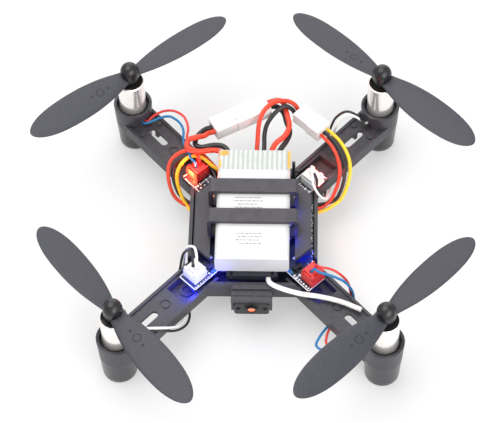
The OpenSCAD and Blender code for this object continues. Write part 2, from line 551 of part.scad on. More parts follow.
// three wires: connector, down outside the right wall, under the tray, up and round on the left, to the board
module video_cable() {
  color([0.8, 0.12, 0.1]) wire([vid_at(9.6, -1.5), vid_at(12, -1.5) + [0, 0, 0.1], [24.2, 26.8, 14.2], [26.2, 22, 13.2], [26.6, 18.6, 10.4], [25.4, 15.6, 6.4],
    [23.2, 12.8, 3.8], [18, 10.4, 3.3], [0, 10, 3.3], [-18, 10.6, 3.3], [-24, 12.6, 4.2], [-26.4, 15, 7.2],
    [-27.2, 18.4, 11.4], [-26.2, 21.8, 13.4], [-22.6, 24.6, 14.2], [-18, 24.4, 14.4], [-14, 21.4, 13], [-11, 17.6, 11.8], [-10.1, 13.6, 10.92]], 0.58);
  color([0.06, 0.06, 0.06]) wire([vid_at(9.6, 0), vid_at(12.2, 0) + [0, 0, 0.1], [25.6, 27.6, 14.2], [27.8, 22.6, 13.2], [28.2, 18.8, 10.4], [27, 15.4, 6.4],
    [24.6, 13.4, 3.6], [18, 12, 3.3], [0, 11.4, 3.3], [-18, 12, 3.3], [-22.8, 13.8, 4.2], [-24.8, 15.6, 7.2],
    [-25.8, 18.6, 11], [-24.8, 21, 12.9], [-21.6, 23.1, 13.4], [-17.8, 23.4, 13.2], [-14.4, 20.1, 12.4], [-12.4, 17, 11.7], [-11.6, 13.8, 10.92]], 0.58);
  color([0.9, 0.75, 0.1]) wire([vid_at(9.6, 1.5), vid_at(12.4, 1.5) + [0, 0, 0.1], [27, 28.4, 14.2], [29.4, 23.2, 13.2], [29.8, 19, 10.4], [28.4, 15.4, 6.2],
    [25.6, 12.6, 3.4], [18, 8.9, 3.3], [0, 8.6, 3.3], [-18, 9.2, 3.3], [-21.4, 11.4, 3.6], [-23.4, 14.2, 6.4],
    [-24.4, 16.6, 11], [-23.2, 18.8, 14.6], [-20.3, 21.4, 15.6], [-16.6, 21.2, 15.5], [-13.2, 19.2, 13.8], [-9.8, 17.4, 12.1], [-8.6, 13.5, 10.92]], 0.58);
}

// ---------- motor leads ----------
function top_of(sx, sy, v) = let (a = atan2(sy * sin(tab_a), sx * cos(tab_a)), r = sock_r + sock_at(sx, sy)[0], w = v + sock_at(sx, sy)[1])
  [r * cos(a) - w * sin(a), board_cy + r * sin(a) + w * cos(a), 0];
function hole_of(sx, sy, d, v, z) = let (a = atan2(sy * motor_y, sx * motor_x))
  [(arm_r - d) * cos(a) - v * sin(a), (arm_r - d) * sin(a) + v * cos(a), z];
lr = 0.4;
module motor_leads_fl() {
  p = top_of(-1, -1, 0.75); q = top_of(-1, -1, -0.75);
  color([0.93, 0.93, 0.92]) wire([p + [0, 0, 13.6], p + [0, 0.2, 16.4], [-16.6, -17.6, 18.6], [-17.2, -15, 18.9], [-18.6, -13.4, 17.6], [-20.2, -12.6, 15], [-20.8, -12.7, 11.4], [-21.1, -13.2, 8], [-21.6, -14.4, 5], [-22.1, -16.4, 3.6], [-22.2, -18.6, 3.5], [-21.4, -22, 3.4], [-20.6, -27, 3.6],
    hole_of(-1, -1, 22, 5.6, 3.6), hole_of(-1, -1, 19, 6.6, 5), hole_of(-1, -1, 15.8, 6.6, 7.8), hole_of(-1, -1, 12.4, 5.4, 10.4), hole_of(-1, -1, 9.4, 2.8, 10.8),
    hole_of(-1, -1, 6.6, 0.6, 10), hole_of(-1, -1, 4.7, 0.5, 9.9)], lr);
  color([0.05, 0.05, 0.05]) wire([q + [0, 0, 13.6], q + [0, 0.2, 16.2], [-17.8, -18.6, 17.8], [-18, -16, 18.2], [-19.2, -14.4, 17], [-20.8, -13.8, 14.4], [-21.6, -13.9, 11], [-22.1, -14.5, 7.6], [-22.8, -15.8, 4.6], [-23.1, -17.6, 3.6], [-22.6, -20.4, 3.1], [-21.3, -22.4, 2.4], [-20, -24.6, 2.8], [-18.8, -28.8, 3.4],
    hole_of(-1, -1, 21.6, 7.4, 3.8), hole_of(-1, -1, 18, 7.8, 5.4), hole_of(-1, -1, 14.6, 7.4, 8.2), hole_of(-1, -1, 11.4, 5, 9.9), hole_of(-1, -1, 8.6, 1.6, 9.9),
    hole_of(-1, -1, 6.6, -0.4, 9.9), hole_of(-1, -1, 4.7, -0.5, 9.9)], lr);
}
module motor_leads_fr() {
  p = top_of(1, -1, 0.75); q = top_of(1, -1, -0.75);
  color([0.8, 0.1, 0.1]) wire([p + [0, 0, 13.6], p + [0.6, 0, 16.6], [20.4, -20.4, 17.8], [24, -21, 17.4], [27, -21.8, 15.4], [29, -22.2, 12],
    hole_of(1, -1, 21.6, 6.6, 8), hole_of(1, -1, 21, 6.2, 4.6), hole_of(1, -1, 20.4, 4, 3.5), [26.4, -28.4, 3.4], [24.2, -32, 3.6], [22.8, -35.6, 3.2],
    [22.8, -38.6, 3.2], hole_of(1, -1, 11, -8.6, 4.4), hole_of(1, -1, 8.6, -7, 8), hole_of(1, -1, 7.8, -3.6, 10.4), hole_of(1, -1, 6.6, -0.6, 10), hole_of(1, -1, 4.7, -0.5, 9.9)], lr);
  color([0.1, 0.3, 0.6]) wire([q + [0, 0, 13.6], q + [0.8, -0.2, 16.4], [20.6, -22, 17.2], [24, -22.8, 16.6], [27.8, -23.2, 14.2], [30, -23.6, 10.6],
    hole_of(1, -1, 20.4, 6.8, 6.8), hole_of(1, -1, 19.6, 6, 3.8), hole_of(1, -1, 19, 3.4, 3.2), [25.8, -30, 3.2], [22.6, -33, 3.2], [20.4, -36.4, 3], [19.8, -39.4, 3],
    hole_of(1, -1, 11.4, -10.4, 3.8), hole_of(1, -1, 8.4, -9.4, 7.6), hole_of(1, -1, 7, -5, 11.4), hole_of(1, -1, 6.6, -1.2, 11), hole_of(1, -1, 6, 0.4, 10), hole_of(1, -1, 4.7, 0.5, 9.9)], lr);
}
module motor_leads_rl() {
  p = top_of(-1, 1, 0.75); q = top_of(-1, 1, -0.75);
  color([0.8, 0.1, 0.1]) wire([q + [0, 0, 13.6], q + [0.1, 0.5, 16.4], [-18.2, 21.6, 16.95], [-19.8, 24, 16.2], [-21.2, 27.2, 14], [-21.7, 30.4, 13.5], [-21.4, 33.6, 14.6], [-22.8, 37.4, 15],
    [-26, 40.4, 14], [-29.6, 41.4, 12.6], [-33, 40.6, 11], hole_of(-1, 1, 6.3, -0.5, 9.9), hole_of(-1, 1, 4.7, -0.5, 9.9)], lr);
  color([0.1, 0.3, 0.6]) wire([p + [0, 0, 13.6], p + [-0.1, 0.5, 16.2], [-20, 20.2, 16.9], [-21.1, 24.4, 16], [-22.4, 27.4, 13.9], [-22.9, 30.4, 12.8], [-22.9, 33.2, 13.2], [-24.2, 36.2, 13.4],
    [-27.4, 39.4, 12.4], [-30.6, 39.8, 11.2], [-33.4, 39, 10.4], hole_of(-1, 1, 6.3, 0.5, 9.9), hole_of(-1, 1, 4.7, 0.5, 9.9)], lr);
}
module motor_leads_rr() {
  p = top_of(1, 1, 0.75); q = top_of(1, 1, -0.75);
  color([0.93, 0.93, 0.92]) wire([p + [0, 0, 13.6], p + [0, -0.5, 16.4], [18, 13.8, 16.6], [18.4, 11.2, 15], [20.4, 9.8, 11.6], [22.2, 11.2, 8.1],
    [22.9, 14.2, 5.4], [23.4, 16.8, 3.7], [24.2, 20.6, 3.5], [24.8, 27, 3.5], [24.6, 33.4, 3.4], [24.6, 37.4, 4.6], [25.2, 39, 7.4], [26.6, 40.4, 10.4], [29.4, 40.8, 12.4], [32.6, 39.8, 12],
    [34.4, 38.9, 10.6], hole_of(1, 1, 6.5, 0.5, 9.9), hole_of(1, 1, 4.7, 0.5, 9.9)], lr);
  color([0.05, 0.05, 0.05]) wire([q + [0, 0, 13.6], q + [0, -0.5, 16.2], [19.4, 13.2, 15.4], [19.6, 11.4, 14], [21, 10.6, 10.8], [21.6, 12, 7.6],
    [21.9, 14.2, 5], [22.2, 16.8, 3.6], [22.8, 20.6, 3.5], [23.4, 27, 3.5], [23.2, 33.4, 3.5], [22.9, 37, 4.4], [23.6, 39.2, 6.4], [25.4, 41.4, 10], [28.8, 42, 12.6], [32.4, 40.4, 12.4],
    [34.4, 38.4, 10.9], hole_of(1, 1, 6.5, -0.5, 9.9), hole_of(1, 1, 4.7, -0.5, 9.9)], lr);
}

// ---------- node list ----------
// the middle of the whole outline, propellers included, stands over the origin
home = [0.71, 1.78];
module up() { translate([home[0], home[1], lift]) children(); }
up() frame_tray();
translate([home[0], home[1], 0]) foot_caps();
up() battery_cage();
up() cage_screws();
up() camera_bracket();
up() camera_case();
up() camera_lens();
up() camera_glass();
up() video_transmitter();
up() antenna();
up() at_motor(-1, -1) motor_can();  // motor_can_fl
up() at_motor(1, -1) motor_can();  // motor_can_fr
up() at_motor(-1, 1) motor_can();  // motor_can_rl
up() at_motor(1, 1) motor_can();  // motor_can_rr
up() motor_end_caps();
up() motor_magnets();
up() motor_bushings();
up() at_motor(-1, -1) rotor();  // rotor_fl
up() at_motor(1, -1) rotor();  // rotor_fr
up() at_motor(-1, 1) rotor();  // rotor_rl
up() at_motor(1, 1) rotor();  // rotor_rr
up() at_motor(-1, -1) propeller(-50.5, 1);  // propeller_fl
up() at_motor(1, -1) propeller(45.5, -1);  // propeller_fr
up() at_motor(-1, 1) propeller(38.5, -1);  // propeller_rl
up() at_motor(1, 1) propeller(-42, 1);  // propeller_rr
up() board_pcb();
up() board_processor();
up() board_gyro();
up() board_receiver();
up() board_mosfets();
up() board_passives();
up() board_crystal();
up() board_usb_port();
up() board_leds_front();
up() board_leds_rear();
up() motor_sockets_white();
up() motor_sockets_red();
up() motor_plugs_white();
up() motor_plugs_red();
up() bind_button_body();
up() bind_button_cap();
up() receiver_aerial();
up() battery_pouch();
up() battery_end_tape();
up() battery_circuit();
up() battery_leads();
up() battery_plug();
up() battery_plug_contacts();
up() pigtail_socket();
up() pigtail_pins();
up() pigtail_wires();
up() video_connector();
up() video_pair();
up() video_cable();
up() motor_leads_fl();
up() motor_leads_fr();
up() motor_leads_rl();
up() motor_leads_rr();
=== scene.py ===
import bpy, bmesh, math
from mathutils import Vector, Matrix, noise

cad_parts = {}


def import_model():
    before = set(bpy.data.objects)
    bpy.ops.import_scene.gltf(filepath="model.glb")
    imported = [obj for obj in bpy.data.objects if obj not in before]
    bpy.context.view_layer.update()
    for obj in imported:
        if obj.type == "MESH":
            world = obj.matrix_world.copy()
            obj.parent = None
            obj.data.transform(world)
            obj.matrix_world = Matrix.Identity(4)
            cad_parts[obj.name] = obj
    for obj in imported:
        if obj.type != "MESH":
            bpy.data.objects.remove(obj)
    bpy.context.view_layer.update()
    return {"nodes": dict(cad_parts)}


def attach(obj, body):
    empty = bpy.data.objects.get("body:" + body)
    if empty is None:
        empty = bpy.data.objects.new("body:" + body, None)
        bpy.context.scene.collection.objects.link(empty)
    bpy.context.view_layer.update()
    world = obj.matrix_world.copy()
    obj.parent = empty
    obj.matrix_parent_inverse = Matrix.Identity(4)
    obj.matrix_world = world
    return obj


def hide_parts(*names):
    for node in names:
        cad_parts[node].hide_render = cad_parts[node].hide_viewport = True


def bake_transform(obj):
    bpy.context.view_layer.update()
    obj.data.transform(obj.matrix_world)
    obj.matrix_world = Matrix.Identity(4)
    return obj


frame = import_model()

MM = 0.001
SH = Vector((0.71, 1.78, 4.2))          # the craft's own origin in the row frame, in mm
scene = bpy.context.scene


def W(p):
    """a point given in mm about the craft's centre, in metres in the row frame"""
    return (Vector(p) + SH) * MM


# ---------------------------------------------------------------- camera
def camera():
    el, yaw, roll, dist = math.radians(55.66), math.radians(2.538), math.radians(-1.46), 607.757
    target = Vector((-0.889, -2.093, 20.0)) + SH
    back = Vector((math.sin(yaw) * math.cos(el), -math.cos(yaw) * math.cos(el), math.sin(el)))
    right = (-back).cross(Vector((0, 0, 1))).normalized()
    up = right.cross(-back).normalized()
    r2 = right * math.cos(roll) + up * math.sin(roll)
    u2 = -right * math.sin(roll) + up * math.cos(roll)
    m = Matrix((r2, u2, back)).transposed().to_4x4()
    m.translation = (target + back * dist) * MM
    cam = bpy.data.cameras.new("camera")
    cam.sensor_width = 36
    cam.lens = 144
    cam.clip_start = 0.01
    cam.clip_end = 20
    ob = bpy.data.objects.new("camera", cam)
    ob.matrix_world = m
    scene.collection.objects.link(ob)
    scene.camera = ob


camera()


# ---------------------------------------------------------------- materials
def mat(name, base, rough=0.5, metal=0.0, vary=0.08, vscale=400.0, bump=0.0, bscale=2500.0, spec=0.5,
        coat=0.0, rvary=0.0, trans=0.0, emit=None, power=0.0, second=None, mix_scale=150.0, sss=0.0, aniso=0.0, ior=1.45):
    m = bpy.data.materials.new(name)
    m.use_nodes = True
    nt = m.node_tree
    b = nt.nodes["Principled BSDF"]
    b.inputs["Roughness"].default_value = rough
    b.inputs["Metallic"].default_value = metal
    b.inputs["Specular IOR Level"].default_value = spec
    b.inputs["IOR"].default_value = ior
    if coat:
        b.inputs["Coat Weight"].default_value = coat
        b.inputs["Coat Roughness"].default_value = 0.08
    if trans:
        b.inputs["Transmission Weight"].default_value = trans
    if sss:
        b.inputs["Subsurface Weight"].default_value = sss
        b.inputs["Subsurface Scale"].default_value = 0.001
    if aniso:
        b.inputs["Anisotropic"].default_value = aniso
    tc = nt.nodes.new("ShaderNodeTexCoord")
    n1 = nt.nodes.new("ShaderNodeTexNoise")
    n1.inputs["Scale"].default_value = vscale
    n1.inputs["Detail"].default_value = 4
    nt.links.new(tc.outputs["Object"], n1.inputs["Vector"])
    ramp = nt.nodes.new("ShaderNodeValToRGB")
    lo = [max(c * (1 - vary), 0) for c in base[:3]]
    hi = [min(c * (1 + vary), 1) for c in base[:3]]
    ramp.color_ramp.elements[0].position = 0.3
    ramp.color_ramp.elements[1].position = 0.7
    ramp.color_ramp.elements[0].color = (*lo, 1)
    ramp.color_ramp.elements[1].color = (*hi, 1)
    nt.links.new(n1.outputs["Fac"], ramp.inputs["Fac"])
    col = ramp.outputs["Color"]
    if second:
        n2 = nt.nodes.new("ShaderNodeTexNoise")
        n2.inputs["Scale"].default_value = mix_scale
        nt.links.new(tc.outputs["Object"], n2.inputs["Vector"])
        r2 = nt.nodes.new("ShaderNodeValToRGB")
        r2.color_ramp.elements[0].position = 0.5
        r2.color_ramp.elements[1].position = 0.62
        nt.links.new(n2.outputs["Fac"], r2.inputs["Fac"])
        mx = nt.nodes.new("ShaderNodeMixRGB")
        mx.inputs["Color2"].default_value = (*second, 1)
        nt.links.new(r2.outputs["Color"], mx.inputs["Fac"])
        nt.links.new(col, mx.inputs["Color1"])
        col = mx.outputs["Color"]
    nt.links.new(col, b.inputs["Base Color"])
    if rvary:
        rr = nt.nodes.new("ShaderNodeMapRange")
        rr.inputs["To Min"].default_value = max(rough - rvary, 0.02)
        rr.inputs["To Max"].default_value = min(rough + rvary, 1)
        nt.links.new(n1.outputs["Fac"], rr.inputs["Value"])
        nt.links.new(rr.outputs["Result"], b.inputs["Roughness"])
    if bump:
        n3 = nt.nodes.new("ShaderNodeTexNoise")
        n3.inputs["Scale"].default_value = bscale
        n3.inputs["Detail"].default_value = 3
        nt.links.new(tc.outputs["Object"], n3.inputs["Vector"])
        bp = nt.nodes.new("ShaderNodeBump")
        bp.inputs["Strength"].default_value = bump
        bp.inputs["Distance"].default_value = 0.0002
        nt.links.new(n3.outputs["Fac"], bp.inputs["Height"])
        nt.links.new(bp.outputs["Normal"], b.inputs["Normal"])
    if emit:
        b.inputs["Emission Color"].default_value = (*emit, 1)
        b.inputs["Emission Strength"].default_value = power
    m.diffuse_color = (*base[:3], 1)
    return m


M = {
    "frame_black": mat("frame_black", (0.036, 0.034, 0.041), 0.4, bump=0.25, bscale=3000, vary=0.25, vscale=900, rvary=0.08),
    "cap_black": mat("cap_black", (0.022, 0.022, 0.026), 0.27, spec=0.7, bump=0.1, bscale=3000, vary=0.2, rvary=0.06),
    "cage_black": mat("cage_black", (0.038, 0.034, 0.043), 0.36, bump=0.12, bscale=2500, vary=0.2, rvary=0.06),
    "prop": mat("prop", (0.028, 0.029, 0.038), 0.44, spec=0.5, bump=0.5, bscale=3000, vary=0.22, vscale=1800, rvary=0.06),
    "hub": mat("hub", (0.009, 0.009, 0.011), 0.27, vary=0.1, bump=0.08, rvary=0.05),
    "can": mat("can", (0.93, 0.9, 0.87), 0.2, 0.8, vary=0.03, vscale=200, bump=0.03, bscale=1500, rvary=0.04),
    # painted shade and painted reflection of the propeller, for the motor cans' end plates
    "can_end_painted_shade": mat("can_end_painted_shade", (0.02, 0.018, 0.018), 0.25, 0.3, vary=0.2, vscale=900, bump=0.05),
    "magnet": mat("magnet", (0.12, 0.12, 0.13), 0.4, 0.8, bump=0.1),
    "brass": mat("brass", (0.55, 0.36, 0.12), 0.25, 1.0, vary=0.1, rvary=0.05),
    "end_bell": mat("end_bell", (0.3, 0.05, 0.03), 0.4, vary=0.1, bump=0.1),
    "copper": mat("copper", (0.6, 0.25, 0.1), 0.35, 1.0, vary=0.15, vscale=1500, bump=0.1),
    "steel": mat("steel", (0.6, 0.6, 0.62), 0.25, 1.0, vary=0.06, bump=0.05),
    "camera": mat("camera", (0.02, 0.02, 0.022), 0.45, bump=0.15, vary=0.2),
    "lens": mat("lens", (0.006, 0.006, 0.007), 0.2, vary=0.1),
    # the lens glass has a faint orange emission: a painted glow, the glass itself gives no light
    "glass": mat("glass", (0.75, 0.16, 0.06), 0.08, 0.1, vary=0.25, vscale=900, coat=1.0, emit=(0.9, 0.22, 0.08), power=0.35),
    "shield": mat("shield", (0.012, 0.012, 0.02), 0.5, 0.0, bump=0.12, vary=0.15, rvary=0.06),
    "aerial_white": mat("aerial_white", (0.78, 0.76, 0.72), 0.4, vary=0.04, bump=0.05),
    "aerial_black": mat("aerial_black", (0.01, 0.01, 0.01), 0.4, vary=0.2, bump=0.05),
    "board": mat("board", (0.006, 0.012, 0.022), 0.3, vary=0.35, vscale=1200, bump=0.1, bscale=1500, coat=0.3),
    "chip": mat("chip", (0.015, 0.015, 0.017), 0.45, bump=0.1, vary=0.2),
    "chip_pale": mat("chip_pale", (0.62, 0.58, 0.5), 0.4, vary=0.2, vscale=1500, bump=0.05),
    # white print for the outlines, also used for the painted glints along the board's right side
    "silk_print_and_painted_glints": mat("silk_print_and_painted_glints", (0.82, 0.83, 0.85), 0.5, vary=0.05, bump=0.05),
    "pad_teal": mat("pad_teal", (0.03, 0.16, 0.3), 0.4, vary=0.2, bump=0.05),
    "tin": mat("tin", (0.7, 0.7, 0.7), 0.25, 1.0, vary=0.08, bump=0.06),
    "led_blue": mat("led_blue", (0.1, 0.2, 1.0), 0.3, vary=0.05, emit=(0.08, 0.12, 1.0), power=14.0),
    "led_red": mat("led_red", (1.0, 0.1, 0.08), 0.3, vary=0.05, emit=(1.0, 0.08, 0.05), power=14.0),
    "white": mat("white", (0.68, 0.67, 0.66), 0.42, vary=0.04, bump=0.08, bscale=1800, sss=0.15),
    "red": mat("red", (0.55, 0.03, 0.025), 0.36, vary=0.12, bump=0.08),
    "button": mat("button", (0.012, 0.012, 0.012), 0.4, vary=0.2, bump=0.05),
    "tape": mat("tape", (0.49, 0.495, 0.48), 0.32, vary=0.08, vscale=300, bump=0.15, bscale=600, coat=0.6, second=(0.44, 0.47, 0.45), mix_scale=260),
    "circuit": mat("circuit", (0.02, 0.09, 0.04), 0.35, vary=0.2, bump=0.05),
    "pouch": mat("pouch", (0.555, 0.555, 0.56), 0.42, 0.1, vary=0.04, vscale=120, bump=0.3, bscale=220, rvary=0.08),
    "w_red": mat("w_red", (0.6, 0.042, 0.014), 0.36, vary=0.12, vscale=600, bump=0.06),
    "w_black": mat("w_black", (0.012, 0.012, 0.013), 0.35, vary=0.2, vscale=600, bump=0.06),
    "w_yellow": mat("w_yellow", (0.82, 0.5, 0.02), 0.36, vary=0.1, vscale=600, bump=0.06),
    "w_white": mat("w_white", (0.78, 0.78, 0.76), 0.36, vary=0.05, vscale=600, bump=0.06),
    "w_blue": mat("w_blue", (0.008, 0.15, 0.36), 0.36, vary=0.12, vscale=600, bump=0.06),
    "w_coral": mat("w_coral", (0.62, 0.04, 0.035), 0.36, vary=0.12, vscale=600, bump=0.06),
    "ink": mat("ink", (0.15, 0.15, 0.17), 0.5, vary=0.3, vscale=1500, bump=0.03),
    "mark": mat("mark", (0.008, 0.008, 0.009), 0.45, vary=0.3, vscale=1500, bump=0.05),
    "amber": mat("amber", (0.62, 0.33, 0.06), 0.2, vary=0.2, vscale=500, bump=0.08, coat=0.6),
}


def striped(m, period, second, share=0.5):
    """fine ribs across the piece: a second colour in bands along the object's X"""
    nt = m.node_tree
    b = nt.nodes["Principled BSDF"]
    first = b.inputs["Base Color"].links[0].from_socket
    tc = nt.nodes.new("ShaderNodeTexCoord")
    sep = nt.nodes.new("ShaderNodeSeparateXYZ")
    nt.links.new(tc.outputs["Object"], sep.inputs[0])
    wob = nt.nodes.new("ShaderNodeTexNoise")
    wob.inputs["Scale"].default_value = 260
    nt.links.new(tc.outputs["Object"], wob.inputs["Vector"])
    k = nt.nodes.new("ShaderNodeMath")
    k.operation = "MULTIPLY_ADD"
    k.inputs[1].default_value = 2 * math.pi / period
    nt.links.new(sep.outputs["X"], k.inputs[0])
    nt.links.new(wob.outputs["Fac"], k.inputs[2])
    w = nt.nodes.new("ShaderNodeMath")
    w.operation = "SINE"
    nt.links.new(k.outputs[0], w.inputs[0])
    ramp = nt.nodes.new("ShaderNodeValToRGB")
    ramp.color_ramp.elements[0].position = share
    ramp.color_ramp.elements[1].position = min(share + 0.35, 1)
    nt.links.new(w.outputs[0], ramp.inputs["Fac"])
    mx = nt.nodes.new("ShaderNodeMixRGB")
    mx.inputs["Color2"].default_value = (*second, 1)
    nt.links.new(ramp.outputs["Color"], mx.inputs["Fac"])
    nt.links.new(first, mx.inputs["Color1"])
    nt.links.new(mx.outputs["Color"], b.inputs["Base Color"])


striped(M["tape"], 1.5 * MM, (0.33, 0.36, 0.345), 0.0)


def dress(ob, material):
    ob.data.materials.clear()
    ob.data.materials.append(M[material])


def polish(node, material, width=0.12, angle=32, segments=2):
    ob = frame["nodes"][node]
    dress(ob, material)
    for a in ("custom_normal",):
        if a in ob.data.attributes:
            ob.data.attributes.remove(ob.data.attributes[a])
    ob.data.shade_smooth()
    w = ob.modifiers.new("weld", "WELD")
    w.merge_threshold = 2e-6
    if width:
        b = ob.modifiers.new("bevel", "BEVEL")
        b.width = width * MM
        b.segments = segments
        b.limit_method = "ANGLE"
        b.angle_limit = math.radians(angle)
        b.harden_normals = True
        b.use_clamp_overlap = True
    return ob


# ---------------------------------------------------------------- mesh helpers
def obj(name, verts, faces, material, body, smooth=True, sharp=None):
    me = bpy.data.meshes.new(name)
    me.from_pydata([tuple(v) for v in verts], [], faces)
    me.validate()
    me.update()
    bm = bmesh.new()
    bm.from_mesh(me)
    bmesh.ops.recalc_face_normals(bm, faces=bm.faces)
    bm.to_mesh(me)
    bm.free()
    if smooth:
        me.shade_smooth()
        if sharp:
            me.set_sharp_from_angle(angle=math.radians(sharp))
    ob = bpy.data.objects.new(name, me)
    scene.collection.objects.link(ob)
    ob.data.materials.append(M[material])
    if body:
        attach(ob, body)
    return ob


def spline(P, m):
    P = [Vector(p) for p in P]
    out = []
    for i in range(len(P) - 1):
        a, b, c, d = P[max(i - 1, 0)], P[i], P[i + 1], P[min(i + 2, len(P) - 1)]
        for j in range(m):
            t = j / m
            out.append(0.5 * (2 * b + (c - a) * t + (2 * a - 5 * b + 4 * c - d) * t * t + (3 * b - a - 3 * c + d) * t ** 3))
    out.append(P[-1])
    return out


def tube(name, P, r, material, body, m=5, sides=12):
    Q = spline([W(p) for p in P], m)
    r = r * MM
    T = [(Q[min(i + 1, len(Q) - 1)] - Q[max(i - 1, 0)]).normalized() for i in range(len(Q))]
    n = Vector((0, 0, 1)) if abs(T[0].z) < 0.9 else Vector((1, 0, 0))
    verts, faces = [], []
    for i, q in enumerate(Q):
        n = (n - T[i] * n.dot(T[i])).normalized()
        b = T[i].cross(n)
        for j in range(sides):
            a = 2 * math.pi * j / sides
            verts.append(q + n * (r * math.cos(a)) + b * (r * math.sin(a)))
    for i in range(len(Q) - 1):
        for j in range(sides):
            k = (j + 1) % sides
            faces.append((i * sides + j, i * sides + k, (i + 1) * sides + k, (i + 1) * sides + j))
    faces.append(tuple(range(sides - 1, -1, -1)))
    faces.append(tuple((len(Q) - 1) * sides + j for j in range(sides)))
    return obj(name, verts, faces, material, body, sharp=50)


# ---------------------------------------------------------------- wires, along the routes of the CAD nodes
PLUG_A, PLUG_O = 29.7, Vector((-13.3, 31.9, 16))
VID_A, VID_O = -43.2, Vector((13.5, 40.5, 13.5))
ARM_A = math.degrees(math.atan2(43.5, 39.5))
ARM_R = math.hypot(39.5, 43.5)


def turned(o, a, x, v, z=0.0):
    a = math.radians(a)
    return o + Vector((x * math.cos(a) - v * math.sin(a), x * math.sin(a) + v * math.cos(a), z))


def plug_at(x, v):
    return turned(PLUG_O, PLUG_A, x, v)


def vid_at(x, v, z=0.0):
    return turned(VID_O, VID_A, x, v, z)


SOCK = {(-1, -1): (0, -0.4), (1, -1): (1.2, 0.9), (-1, 1): (2.2, -0.9), (1, 1): (0.5, -1.1)}     # each connector's place on its tab


def top_of(sx, sy, v, dx=0.0, dy=0.0, z=0.0):
    a = math.degrees(math.atan2(sy * math.sin(math.radians(46.5)), sx * math.cos(math.radians(46.5))))
    r, w = SOCK[sx, sy]
    return turned(Vector((dx, -1.5 + dy, z)), a, 24.6 + r, v + w)


def hole_of(sx, sy, d, v, z):
    a = math.degrees(math.atan2(sy * 43.5, sx * 39.5))
    return turned(Vector((0, 0, z)), a, ARM_R - d, v)


aerial_route = [(5, -20.1, 11.6), (5, -21.3, 11.66), (5.5, -22.8, 12.3), (7.4, -24.1, 12.4), (11, -25, 11.6),
                (15.2, -25.6, 10.7), (19.1, -25.8, 10.1), (22.7, -26.5, 10), (26.6, -27.6, 10), (29.9, -29, 10), (33, -30.5, 10)]


def aerial():
    pts = spline([W(p) for p in aerial_route], 3)
    cu = bpy.data.curves.new("antenna_coax", "CURVE")
    cu.dimensions = "3D"
    sp = cu.splines.new("POLY")
    sp.points.add(len(pts) - 1)
    for q, p in zip(sp.points, pts):
        q.co = (*p, 1)
    sp.use_smooth = True
    cu.bevel_depth = 0.78 * MM
    cu.bevel_resolution = 4
    cu.use_fill_caps = True
    ob = bpy.data.objects.new("antenna_coax", cu)
    scene.collection.objects.link(ob)
    cu.materials.append(M["aerial_white"])
    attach(ob, "airframe")
    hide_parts("antenna")


aerial()

